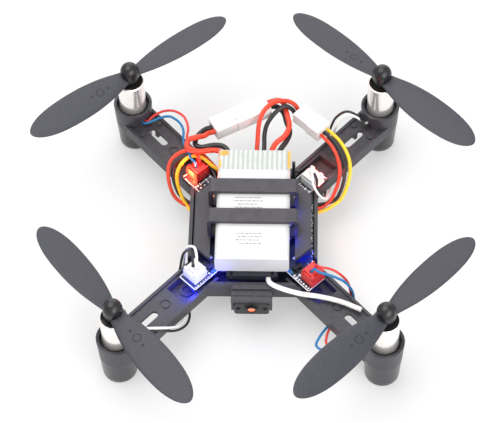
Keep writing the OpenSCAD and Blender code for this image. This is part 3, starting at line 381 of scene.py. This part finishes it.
routes = {
    "battery_lead_red": ("battery_leads", "w_red", 0.85, "wire_red_black", "battery", [(-9.9, 15.4, 17.2), (-9.9, 21, 17.3), (-11.6, 22.6, 17.3), (-14.2, 22.6, 17.4), (-17.2, 21.6, 18.1),
        (-19.8, 21.8, 18.8), (-21.2, 23.2, 19.2), (-20.4, 25.4, 19.4), (-18, 26.6, 18.9), (-16, 28, 17.7), (-14.8, 30, 16.4), plug_at(-0.6, -0.9), plug_at(0.9, -0.9)]),
    "battery_lead_black": ("battery_leads", "w_black", 0.85, "wire_red_black", "battery", [(-8.1, 15.4, 17.2), (-8.1, 21.4, 17.3), (-9.8, 24.2, 17.3), (-13, 24.6, 17.4), (-16.6, 23.9, 17.2),
        (-18.6, 25, 17), (-18.6, 27.4, 16.8), (-17.4, 29.8, 16.5), (-15.7, 31.7, 16.2), plug_at(-0.6, 0.9), plug_at(0.9, 0.9)]),
    "pigtail_red": ("pigtail_wires", "w_red", 0.85, "wire_red_black", "airframe", [plug_at(17.5, 0.95), plug_at(19.6, 0.95), (6.6, 43.7, 15.9), (8.4, 43.1, 15.7), (9.2, 41.3, 15), (10, 38, 14.9),
        (10.6, 34.4, 14.5), (9.2, 31, 14), (6.4, 28.8, 13), (5, 25.4, 12.2), (4.8, 21, 11.8), (5.6, 17, 11.8), (6, 13.4, 11.2)]),
    "pigtail_black": ("pigtail_wires", "w_black", 0.85, "wire_red_black", "airframe", [plug_at(17.5, -0.95), plug_at(19.6, -0.95), (6.2, 41.7, 15.2), (7.8, 41.6, 14), (9, 40.2, 13.1), (9.7, 37.4, 12.8),
        (10.8, 33.8, 12.5), (9.8, 30.4, 12.1), (8, 27.6, 11.6), (7.2, 24.6, 11.6), (7.4, 20.6, 11.8), (8.2, 17, 11.8), (8.6, 13.4, 11.2)]),
    "video_pair_red": ("video_pair", "w_red", 0.72, "wire_red_black", "airframe", [vid_at(1.3, 0.9), vid_at(-0.7, 0.9), (12, 42.6, 15.4), (9.6, 42.3, 17.4), (6, 40.6, 19), (3, 37.6, 19.3), (1.3, 34, 18),
        (0.8, 30.6, 15.8), (0.6, 27.4, 13.8), (0, 24, 12.2), (-3.4, 20, 11.8), (-6, 16.6, 11.3), (-7.2, 13.2, 11.05)]),
    "video_pair_black": ("video_pair", "w_black", 0.72, "wire_red_black", "airframe", [vid_at(1.3, -0.9), vid_at(-0.7, -0.9), (11.4, 40.6, 15.3), (9.3, 40.4, 17.2), (7, 39.2, 16.6), (4.9, 36.9, 15.8), (3.4, 34.2, 15),
        (2.8, 31, 14), (2.8, 27.4, 12.8), (2.2, 24, 11.9), (-1.2, 20, 11.6), (-4, 16.6, 11.3), (-5.4, 13.2, 11.05)]),
    "video_cable_red": ("video_cable", "w_red", 0.58, "wire_red_black", "airframe", [vid_at(9.6, -1.5), vid_at(12, -1.5, 0.1), (24.2, 26.8, 14.2), (26.2, 22, 13.2), (26.6, 18.6, 10.4), (25.4, 15.6, 6.4),
        (23.2, 12.8, 3.8), (18, 10.4, 3.3), (0, 10, 3.3), (-18, 10.6, 3.3), (-24, 12.6, 4.2), (-26.4, 15, 7.2), (-27.2, 18.4, 11.4), (-26.2, 21.8, 13.4), (-22.6, 24.6, 14.2), (-18, 24.4, 14.4),
        (-14, 21.4, 13), (-11, 17.6, 11.8), (-10.1, 13.6, 10.92)]),
    "video_cable_black": ("video_cable", "w_black", 0.58, "wire_red_black", "airframe", [vid_at(9.6, 0), vid_at(12.2, 0, 0.1), (25.6, 27.6, 14.2), (27.8, 22.6, 13.2), (28.2, 18.8, 10.4), (27, 15.4, 6.4),
        (24.6, 13.4, 3.6), (18, 12, 3.3), (0, 11.4, 3.3), (-18, 12, 3.3), (-22.8, 13.8, 4.2), (-24.8, 15.6, 7.2), (-25.8, 18.6, 11), (-24.8, 21, 12.9), (-21.6, 23.1, 13.4), (-17.8, 23.4, 13.2),
        (-14.4, 20.1, 12.4), (-12.4, 17, 11.7), (-11.6, 13.8, 10.92)]),
    "video_cable_yellow": ("video_cable", "w_yellow", 0.58, "wire_red_black", "airframe", [vid_at(9.6, 1.5), vid_at(12.4, 1.5, 0.1), (27, 28.4, 14.2), (29.4, 23.2, 13.2), (29.8, 19, 10.4), (28.4, 15.4, 6.2),
        (25.6, 12.6, 3.4), (18, 8.9, 3.3), (0, 8.6, 3.3), (-18, 9.2, 3.3), (-21.4, 11.4, 3.6), (-23.4, 14.2, 6.4), (-24.4, 16.6, 11), (-23.2, 18.8, 14.6), (-20.3, 21.4, 15.6), (-16.6, 21.2, 15.5),
        (-13.2, 19.2, 13.8), (-9.8, 17.4, 12.1), (-8.6, 13.5, 10.92)]),
    "lead_fl_white": ("motor_leads_fl", "w_white", 0.4, "wire_white_black", "airframe", [top_of(-1, -1, 0.75, z=13.6), top_of(-1, -1, 0.75, 0, 0.2, 16.4), (-16.6, -17.6, 18.6), (-17.2, -15, 18.9), (-18.6, -13.4, 17.6), (-20.2, -12.6, 15), (-20.8, -12.7, 11.4), (-21.1, -13.2, 8), (-21.6, -14.4, 5), (-22.1, -16.4, 3.6), (-22.2, -18.6, 3.5), (-21.4, -22, 3.4), (-20.6, -27, 3.6), hole_of(-1, -1, 22, 5.6, 3.6), hole_of(-1, -1, 19, 6.6, 5),
        hole_of(-1, -1, 15.8, 6.6, 7.8), hole_of(-1, -1, 12.4, 5.4, 10.4), hole_of(-1, -1, 9.4, 2.8, 10.8), hole_of(-1, -1, 6.6, 0.6, 10), hole_of(-1, -1, 4.7, 0.5, 9.9)]),
    "lead_fl_black": ("motor_leads_fl", "w_black", 0.4, "wire_white_black", "airframe", [top_of(-1, -1, -0.75, z=13.6), top_of(-1, -1, -0.75, 0, 0.2, 16.2), (-17.8, -18.6, 17.8), (-18, -16, 18.2), (-19.2, -14.4, 17), (-20.8, -13.8, 14.4), (-21.6, -13.9, 11), (-22.1, -14.5, 7.6), (-22.8, -15.8, 4.6), (-23.1, -17.6, 3.6), (-22.6, -20.4, 3.1), (-21.3, -22.4, 2.4), (-20, -24.6, 2.8), (-18.8, -28.8, 3.4), hole_of(-1, -1, 21.6, 7.4, 3.8), hole_of(-1, -1, 18, 7.8, 5.4),
        hole_of(-1, -1, 14.6, 7.4, 8.2), hole_of(-1, -1, 11.4, 5, 9.9), hole_of(-1, -1, 8.6, 1.6, 9.9), hole_of(-1, -1, 6.6, -0.4, 9.9), hole_of(-1, -1, 4.7, -0.5, 9.9)]),
    "lead_fr_red": ("motor_leads_fr", "w_coral", 0.4, "wire_red_blue", "airframe", [top_of(1, -1, 0.75, z=13.6), top_of(1, -1, 0.75, 0.6, 0, 16.6), (20.4, -20.4, 17.8), (24, -21, 17.4), (27, -21.8, 15.4), (29, -22.2, 12),
        hole_of(1, -1, 21.6, 6.6, 8), hole_of(1, -1, 21, 6.2, 4.6), hole_of(1, -1, 20.4, 4, 3.5), (26.4, -28.4, 3.4), (24.2, -32, 3.6), (22.8, -35.6, 3.2), (22.8, -38.6, 3.2), hole_of(1, -1, 11, -8.6, 4.4),
        hole_of(1, -1, 8.6, -7, 8), hole_of(1, -1, 7.8, -3.6, 10.4), hole_of(1, -1, 6.6, -0.6, 10), hole_of(1, -1, 4.7, -0.5, 9.9)]),
    "lead_fr_blue": ("motor_leads_fr", "w_blue", 0.4, "wire_red_blue", "airframe", [top_of(1, -1, -0.75, z=13.6), top_of(1, -1, -0.75, 0.8, -0.2, 16.4), (20.6, -22, 17.2), (24, -22.8, 16.6), (27.8, -23.2, 14.2), (30, -23.6, 10.6),
        hole_of(1, -1, 20.4, 6.8, 6.8), hole_of(1, -1, 19.6, 6, 3.8), hole_of(1, -1, 19, 3.4, 3.2), (25.8, -30, 3.2), (22.6, -33, 3.2), (20.4, -36.4, 3), (19.8, -39.4, 3), hole_of(1, -1, 11.4, -10.4, 3.8),
        hole_of(1, -1, 8.4, -9.4, 7.6), hole_of(1, -1, 7, -5, 11.4), hole_of(1, -1, 6.6, -1.2, 11), hole_of(1, -1, 6, 0.4, 10), hole_of(1, -1, 4.7, 0.5, 9.9)]),
    "lead_rl_red": ("motor_leads_rl", "w_coral", 0.4, "wire_red_blue", "airframe", [top_of(-1, 1, -0.75, z=13.6), top_of(-1, 1, -0.75, 0.1, 0.5, 16.4), (-18.2, 21.6, 16.95), (-19.8, 24, 16.2), (-21.2, 27.2, 14), (-21.7, 30.4, 13.5), (-21.4, 33.6, 14.6),
        (-22.8, 37.4, 15), (-26, 40.4, 14), (-29.6, 41.4, 12.6), (-33, 40.6, 11), hole_of(-1, 1, 6.3, -0.5, 9.9), hole_of(-1, 1, 4.7, -0.5, 9.9)]),
    "lead_rl_blue": ("motor_leads_rl", "w_blue", 0.4, "wire_red_blue", "airframe", [top_of(-1, 1, 0.75, z=13.6), top_of(-1, 1, 0.75, -0.1, 0.5, 16.2), (-20, 20.2, 16.9), (-21.1, 24.4, 16), (-22.4, 27.4, 13.9), (-22.9, 30.4, 12.8), (-22.9, 33.2, 13.2),
        (-24.2, 36.2, 13.4), (-27.4, 39.4, 12.4), (-30.6, 39.8, 11.2), (-33.4, 39, 10.4), hole_of(-1, 1, 6.3, 0.5, 9.9), hole_of(-1, 1, 4.7, 0.5, 9.9)]),
    "lead_rr_white": ("motor_leads_rr", "w_white", 0.4, "wire_white_black", "airframe", [top_of(1, 1, 0.75, z=13.6), top_of(1, 1, 0.75, 0, -0.5, 16.4), (18, 13.8, 16.6), (18.4, 11.2, 15), (20.4, 9.8, 11.6), (22.2, 11.2, 8.1),
        (22.9, 14.2, 5.4), (23.4, 16.8, 3.7), (24.2, 20.6, 3.5), (24.8, 27, 3.5), (24.6, 33.4, 3.4), (24.6, 37.4, 4.6), (25.2, 39, 7.4), (26.6, 40.4, 10.4), (29.4, 40.8, 12.4), (32.6, 39.8, 12),
        (34.4, 38.9, 10.6), hole_of(1, 1, 6.5, 0.5, 9.9), hole_of(1, 1, 4.7, 0.5, 9.9)]),
    "lead_rr_black": ("motor_leads_rr", "w_black", 0.4, "wire_white_black", "airframe", [top_of(1, 1, -0.75, z=13.6), top_of(1, 1, -0.75, 0, -0.5, 16.2), (19.4, 13.2, 15.4), (19.6, 11.4, 14), (21, 10.6, 10.8), (21.6, 12, 7.6),
        (21.9, 14.2, 5), (22.2, 16.8, 3.6), (22.8, 20.6, 3.5), (23.4, 27, 3.5), (23.2, 33.4, 3.5), (22.9, 37, 4.4), (23.6, 39.2, 6.4), (25.4, 41.4, 10), (28.8, 42, 12.6), (32.4, 40.4, 12.4),
        (34.4, 38.4, 10.9), hole_of(1, 1, 6.5, -0.5, 9.9), hole_of(1, 1, 4.7, -0.5, 9.9)]),
}
wires = {}
for wname, (wnode, wmat, wr, wslot, wbody, pts) in routes.items():
    bends = wname.startswith("pigtail") or wname.startswith("battery_lead")
    wires[wname] = tube(wname, pts, wr, wmat, None if bends else wbody)
    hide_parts(wnode)
for k in ("red", "black"):
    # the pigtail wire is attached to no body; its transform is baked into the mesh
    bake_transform(wires["pigtail_" + k])
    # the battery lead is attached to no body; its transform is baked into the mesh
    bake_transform(wires["battery_lead_" + k])


# ---------------------------------------------------------------- propellers
PR, HUB_R = 37.5, 2.95
# radius and chord of a blade, in mm
CHORD = [(2.2, 4.8), (3.0, 5.15), (4.0, 5.7), (5.0, 6.25), (6.0, 6.8), (7.5, 7.55), (9.0, 8.2), (10.5, 8.75), (12.0, 9.2), (14.0, 9.72), (16.0, 10.1), (18.0, 10.3),
         (20.0, 10.4), (22.0, 10.4), (24.0, 10.3), (26.0, 10.05), (28.0, 9.7), (29.5, 9.25), (31.0, 8.65), (32.0, 8.15), (33.0, 7.55), (34.0, 6.8), (35.0, 5.85),
         (35.7, 5.0), (36.3, 4.1), (36.8, 3.15), (37.15, 2.25), (37.38, 1.35), (37.5, 0.5)]


def propeller(name, body, x0, y0, angle, turn):
    verts, faces = [], []
    NS = 20

    def section(x, c, sgn):
        t = (x - 2.2) / 35.3
        a = math.radians(14 + (8 - 14) * t) * turn
        k = 0.55 * (1.25 - 0.75 * t) * min(1.0, c / 3.5 + 0.1)
        o = 0.01 * x
        ring = []
        for i in range(NS):
            u = 2 * math.pi * i / NS
            s = 0.5 * math.cos(u)
            th = math.sin(u)
            y = (s * c - o) * turn
            z = k * (0.9 if th > 0 else 0.35) * th - 0.05 * c * (1 - 4 * s * s) * 0.2 + 0.15 * k
            p = Vector((x, y * math.cos(a) - z * math.sin(a), y * math.sin(a) + z * math.cos(a)))
            if sgn < 0:
                p = Vector((-p.x, -p.y, p.z))
            ring.append(p)
        return ring
    rot = Matrix.Rotation(math.radians(angle), 3, "Z")
    o0 = Vector((x0, y0, 28.4))
    for sgn in (1, -1):
        base = len(verts)
        rings = [section(t, c, sgn) for t, c in CHORD]
        for r in rings:
            verts += [W(rot @ p + o0) for p in r]
        for i in range(len(rings) - 1):
            for j in range(NS):
                k = (j + 1) % NS
                faces.append((base + i * NS + j, base + i * NS + k, base + (i + 1) * NS + k, base + (i + 1) * NS + j))
        faces.append(tuple(base + j for j in range(NS)))
        faces.append(tuple(base + (len(rings) - 1) * NS + j for j in range(NS - 1, -1, -1)))
    blades = obj(name + "_blades", verts, faces, "prop", body, sharp=60)
    # hub: collar, drum and dome, turned from one profile
    prof = [(0.0, 4.92), (0.6, 4.88), (1.25, 4.66), (1.85, 4.28), (2.35, 3.75), (2.7, 3.15), (2.9, 2.45), (2.95, 1.9), (2.95, -0.55), (2.88, -0.7), (2.62, -0.8),
            (2.6, -1.85), (2.5, -2.0), (0.6, -2.0), (0.55, -1.8), (0.5, -1.4), (0.5, -1.0)]
    NV = 40
    verts, faces = [], []
    for r, z in prof[1:]:
        for j in range(NV):
            a = 2 * math.pi * j / NV
            verts.append(W(o0 + Vector((r * math.cos(a), r * math.sin(a), z))))
    for i in range(len(prof) - 2):
        for j in range(NV):
            k = (j + 1) % NV
            faces.append((i * NV + j, i * NV + k, (i + 1) * NV + k, (i + 1) * NV + j))
    verts.append(W(o0 + Vector((0, 0, 4.92))))
    faces += [(len(verts) - 1, (j + 1) % NV, j) for j in range(NV)]
    faces.append(tuple((len(prof) - 2) * NV + j for j in range(NV)))
    hub = obj(name + "_hub", verts, faces, "hub", body, sharp=40)
    for piece in (blades, hub):
        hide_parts(name)


propeller("propeller_fl", "rotor_assembly_fl", -39.5, -43.5, -50.5, 1)
propeller("propeller_fr", "rotor_assembly_fr", 39.5, -43.5, 45.5, -1)
propeller("propeller_rl", "rotor_assembly_rl", -39.5, 43.5, 38.5, -1)
propeller("propeller_rr", "rotor_assembly_rr", 39.5, 43.5, -42, 1)

# ---------------------------------------------------------------- CAD nodes that stay
polish("frame_tray", "frame_black", 0.14)
polish("foot_caps", "cap_black", 0.25, 40, 3)
polish("battery_cage", "cage_black", 0.14)
polish("cage_screws", "steel", 0.05)
polish("camera_bracket", "frame_black", 0.12)
polish("camera_case", "camera", 0.15)
polish("camera_lens", "lens", 0.1)
polish("camera_glass", "glass", 0.12)
polish("video_transmitter", "shield", 0.2)
polish("receiver_aerial", "aerial_black", 0.1)
for k in ("fl", "fr", "rl", "rr"):
    can = polish("motor_can_" + k, "can", 0.1)
    # the end plate round the shaft is painted dark: painted shade under the hub and a painted reflection of the dark
    # propeller
    can.data.materials.append(M["can_end_painted_shade"])
    top = max(v.co.z for v in can.data.vertices)
    for f in can.data.polygons:
        if f.normal.z > 0.9 and f.center.z > top - 0.4 * MM:
            f.material_index = 1
    polish("rotor_" + k, "copper", 0.0)
polish("motor_end_caps", "end_bell", 0.1)
polish("motor_magnets", "magnet", 0.1)
polish("motor_bushings", "brass", 0.06)
polish("board_pcb", "board", 0.06)
polish("board_processor", "chip", 0.04)
polish("board_gyro", "chip", 0.05)
polish("board_receiver", "chip", 0.05)
polish("board_mosfets", "chip", 0.05)
polish("board_passives", "chip_pale", 0.04)
polish("board_crystal", "tin", 0.15)
polish("board_usb_port", "tin", 0.1)
polish("board_leds_front", "led_blue", 0.05)
polish("board_leds_rear", "led_red", 0.05)
polish("motor_sockets_white", "white", 0.08)
polish("motor_sockets_red", "red", 0.08)
polish("motor_plugs_white", "white", 0.15)
polish("motor_plugs_red", "red", 0.15)
polish("bind_button_body", "tin", 0.1)
polish("bind_button_cap", "button", 0.1)
polish("battery_pouch", "pouch", 0.2)
polish("battery_end_tape", "tape", 0.2)
polish("battery_circuit", "circuit", 0.05)
polish("battery_plug", "white", 0.15)
polish("battery_plug_contacts", "brass", 0.03)
polish("pigtail_socket", "white", 0.15)
polish("pigtail_pins", "tin", 0.03)
polish("video_connector", "white", 0.15)


# ---------------------------------------------------------------- printed outlines, pads and strips
def plates(name, rects, place, z, material, body, t=0.03):
    """thin printed or taped patches: each is (centre x, centre y, length, width, angle in degrees)"""
    verts, faces = [], []
    for cx, cy, l, w, a in rects:
        a = math.radians(a)
        n = len(verts)
        c = min(l, w) * 0.2
        ring = [(-l / 2 + c, -w / 2), (l / 2 - c, -w / 2), (l / 2, -w / 2 + c), (l / 2, w / 2 - c), (l / 2 - c, w / 2), (-l / 2 + c, w / 2), (-l / 2, w / 2 - c), (-l / 2, -w / 2 + c)]
        for h in (0, t):
            for x, y in ring:
                q = place(cx + x * math.cos(a) - y * math.sin(a), cy + x * math.sin(a) + y * math.cos(a))
                verts.append(W((q.x, q.y, z + h)))
        faces.append(tuple(n + j for j in range(7, -1, -1)))
        faces.append(tuple(n + 8 + j for j in range(8)))
        for j in range(8):
            k = (j + 1) % 8
            faces.append((n + j, n + k, n + 8 + k, n + 8 + j))
    return obj(name, verts, faces, material, body, smooth=False)


def on_tab(sx, sy):
    a = math.degrees(math.atan2(sy * math.sin(math.radians(46.5)), sx * math.cos(math.radians(46.5))))
    return lambda x, v: turned(Vector((0, -1.5, 0)), a, x, v)


def flat(x, y):
    return Vector((x, y, 0))


Z_TOP, Z_BAT = 10.3, 20.5
for key, sx, sy in (("fl", -1, -1), ("fr", 1, -1), ("rl", -1, 1), ("rr", 1, 1)):
    g = -1 if key == "fr" else 1            # the side of the tab its connector leaves free
    d, v0 = SOCK[sx, sy]
    end = 28.3 if sy < 0 else 29.1
    lines = [(22.2, 3.34 * g, 12.0, 0.24, 0), (end, 0, 0.24, 6.6, 0), (24.6, -3.34 * g, 7.2, 0.16, 0), (18.2, 3.1 * g, 0.2, 0.7, 0)]
    # short marks of uneven size beside the connector and at the tab's root
    if sy < 0:
        side = [(21.4, 0.5, 0.9), (22.5, 0.9, 0.35), (23.5, 0.35, 0.9), (24.4, 0.8, 0.35), (25.5, 0.45, 0.8), (26.6, 0.8, 0.5), (27.6, 0.35, 0.8)]
        band = (3.5 + 2.65 + v0 * g) / 2
        lines += [(x, band * g, w, h * (0.9 if key == "fr" else 0.5), 0) for x, w, h in side]
    x0 = 24.6 + d - 2.65
    root = [(-2.9, 0.5, 0.9), (-2.1, 0.3, 0.5), (-1.3, 0.6, 0.9), (-0.4, 0.3, 0.7), (0.4, 0.55, 0.4), (1.2, 0.3, 0.9), (2.1, 0.5, 0.6), (2.9, 0.35, 0.9)]
    lines += [(x0 - 0.75, v, h, w, 0) for v, w, h in root]
    if sy > 0:
        lines += [(x0 - 1.9, v * 0.95, h * 0.8, w, 0) for v, w, h in root[::2]] + [(18.4, 0, 0.22, 5.4, 0)]
    plates("outline_" + key, lines, on_tab(sx, sy), Z_TOP + 0.005, "silk_print_and_painted_glints", "airframe")
    pads = [(19.3, 2.6 * g, 2.2, 1.2, 0), (17.4, -2.5 * g, 1.1, 0.8, 0)]
    plates("pads_" + key, pads, on_tab(sx, sy), Z_TOP + 0.005, "pad_teal", "airframe")
# a row of small white marks along the board's right side: painted glints on the dark seam
edge = [(18.15 + (0.1, -0.15, 0.2, 0, -0.1)[i % 5], -13.6 + 1.4 * i + (0, 0.4, 0.1, -0.3)[i % 4], (0.3, 0.16, 0.24)[i % 3], (0.5, 0.25, 0.8, 0.3)[i % 4], 0) for i in range(16)]
plates("painted_edge_glints", edge, flat, Z_TOP + 0.005, "silk_print_and_painted_glints", "airframe")
# faint printed rows on the pouch, as plain dashes
rows = []
for y, x0, x1 in ((2.7, -5.6, 2.2), (1.5, -6.0, 3.0), (0.3, -4.6, 1.4), (-0.9, -5.4, 2.6), (-10.4, -4.8, 2.4), (-11.6, -4.4, 2.8), (-12.8, -4.9, 1.6), (-14.0, -4.0, 2.2)):
    x, i = x0, int(abs(y) * 10) % 5
    while x < x1:
        w = (0.35, 0.6, 0.25, 0.8, 0.45)[i % 5]
        rows.append((x + w / 2, y, w, 0.34, 0))
        x += w + 0.28
        i += 1
plates("pouch_print", rows, flat, Z_BAT + 0.005, "ink", "battery", 0.012)
# amber film folded over the right edge and the rear left corner of the taped end
plates("amber_film", [(10.75, 17.0, 0.9, 6.6, 0), (-9.3, 19.4, 2.6, 1.9, 8), (-10.5, 15.4, 0.7, 3.0, 4)], flat, Z_BAT + 0.005, "amber", "battery", 0.05)


# ---------------------------------------------------------------- a raised ring and dot on one blade of each propeller
def blade_mark(name, body, x0, y0, angle, turn):
    rot = Matrix.Rotation(math.radians(angle), 3, "Z")
    o0 = Vector((x0, y0, 28.4))

    def chord_at(x):
        for (r0, c0), (r1, c1) in zip(CHORD, CHORD[1:]):
            if r0 <= x <= r1:
                return c0 + (c1 - c0) * (x - r0) / (r1 - r0)
        return CHORD[-1][1]

    def top(x, y):
        t = (x - 2.2) / 35.3
        a = math.radians(14 - 6 * t) * turn
        c = chord_at(x)
        k = 0.55 * (1.25 - 0.75 * t)
        q = min(max((y * turn + 0.01 * x) / c, -0.49), 0.49)
        z = k * 0.9 * math.sqrt(1 - 4 * q * q) - 0.01 * c * (1 - 4 * q * q) + 0.15 * k
        return W(rot @ Vector((x, y * math.cos(a) - z * math.sin(a), y * math.sin(a) + z * math.cos(a))) + o0)

    verts, faces = [], []
    N = 32
    for cx, cy, r1, r0 in ((11.6, 0.2, 1.35, 1.08), (8.6, 0.1, 0.42, 0.1), (14.6, 0.1, 0.42, 0.1)):
        n = len(verts)
        for r in (r1, (r1 + r0) / 2, r0):
            for j in range(N):
                a = 2 * math.pi * j / N
                p = top(cx + r * math.cos(a), cy + r * math.sin(a))
                verts.append(p + Vector((0, 0, (0.07 if r == (r1 + r0) / 2 else -0.02) * MM)))
        for i in range(2):
            for j in range(N):
                k = (j + 1) % N
                faces.append((n + i * N + j, n + i * N + k, n + (i + 1) * N + k, n + (i + 1) * N + j))
        for j in range(N):                  # close underneath
            k = (j + 1) % N
            faces.append((n + 2 * N + j, n + 2 * N + k, n + k, n + j))
    return obj(name, verts, faces, "mark", body)


blade_mark("blade_ring_fl", "rotor_assembly_fl", -39.5, -43.5, -50.5, 1)
blade_mark("blade_ring_fr", "rotor_assembly_fr", 39.5, -43.5, 45.5 + 180, -1)
blade_mark("blade_ring_rl", "rotor_assembly_rl", -39.5, 43.5, 38.5 + 180, -1)
blade_mark("blade_ring_rr", "rotor_assembly_rr", 39.5, 43.5, -42 + 180, 1)


# ---------------------------------------------------------------- floor and light
def floor():
    me = bpy.data.meshes.new("floor")
    s = 6.0
    me.from_pydata([(-s, -s, -0.00005), (s, -s, -0.00005), (s, s, -0.00005), (-s, s, -0.00005)], [], [(0, 1, 2, 3)])
    ob = bpy.data.objects.new("floor", me)
    scene.collection.objects.link(ob)
    m = bpy.data.materials.new("floor")
    m.use_nodes = True
    b = m.node_tree.nodes["Principled BSDF"]
    b.inputs["Base Color"].default_value = (0.4, 0.4, 0.4, 1)
    b.inputs["Roughness"].default_value = 0.8
    b.inputs["Emission Color"].default_value = (1, 1, 1, 1)
    b.inputs["Emission Strength"].default_value = 0.34
    me.materials.append(m)


floor()


def area(name, loc, target, size, power, color=(1, 1, 1), sy=None):
    li = bpy.data.lights.new(name, "AREA")
    li.energy = power
    li.size = size
    li.color = color
    if sy:
        li.shape = "RECTANGLE"
        li.size_y = sy
    ob = bpy.data.objects.new(name, li)
    ob.location = loc
    ob.rotation_euler = (Vector(target) - Vector(loc)).to_track_quat("-Z", "Y").to_euler()
    scene.collection.objects.link(ob)
    return ob


def point(name, p, power, color, radius=0.6):
    li = bpy.data.lights.new(name, "POINT")
    li.energy = power
    li.color = color
    li.shadow_soft_size = radius * MM
    ob = bpy.data.objects.new(name, li)
    ob.location = W(p)
    ob.visible_glossy = False           # no hot spots in the cans and hubs
    scene.collection.objects.link(ob)
    return ob


area("key", (-0.25, 0.1, 0.8), (0, 0, 0), 0.8, 6.0)
area("fill", (0.5, -0.5, 0.5), (0, 0, 0), 0.7, 3.0)
area("back", (0.0, 0.8, 0.45), (0, 0, 0.01), 0.8, 3.0)
area("front", (0.3, -0.8, 0.3), (0, 0, 0.01), 0.7, 4.6)
BLUE, RED = (0.02, 0.03, 1.0), (1.0, 0.06, 0.04)
for i, (p, w) in enumerate((((-18.4, -25.0, 9.8), 0.0090), ((-19.2, -22.6, 13.2), 0.0012), ((-9.5, -19.6, 11.4), 0.0040), ((-12.5, -16.5, 11.6), 0.0024), ((5.2, -22.4, 10.4), 0.0014),
                            ((15.2, -13.0, 11.6), 0.0020), ((17.0, -12.0, 11.2), 0.0014), ((12.0, 1.0, 15.6), 0.0018), ((12.0, -9.2, 15.6), 0.0020), ((20.4, -24.4, 9.0), 0.0010))):
    point("blue_%d" % i, p, w, BLUE, 1.2)
for i, (p, w) in enumerate((((-18.2, 18.2, 16.4), 0.0026), ((20.6, 13.6, 11.2), 0.0010))):
    point("red_%d" % i, p, w, RED, 0.8)
# the rear lamps shine on the side of each rear connector only
area("red_left", W((-20.9, 15.9, 13.2)), W((-17.8, 18.6, 12.6)), 0.0012, 0.011, (1.0, 0.13, 0.04))
area("red_right", W((21.4, 17.4, 13.4)), W((18.1, 16.0, 12.6)), 0.0012, 0.008, RED)
world = bpy.data.worlds.new("studio")
world.use_nodes = True
world.node_tree.nodes["Background"].inputs["Color"].default_value = (1, 1, 1, 1)
world.node_tree.nodes["Background"].inputs["Strength"].default_value = 0.85
scene.world = world
scene.view_settings.view_transform = "Standard"
scene.view_settings.look = "None"
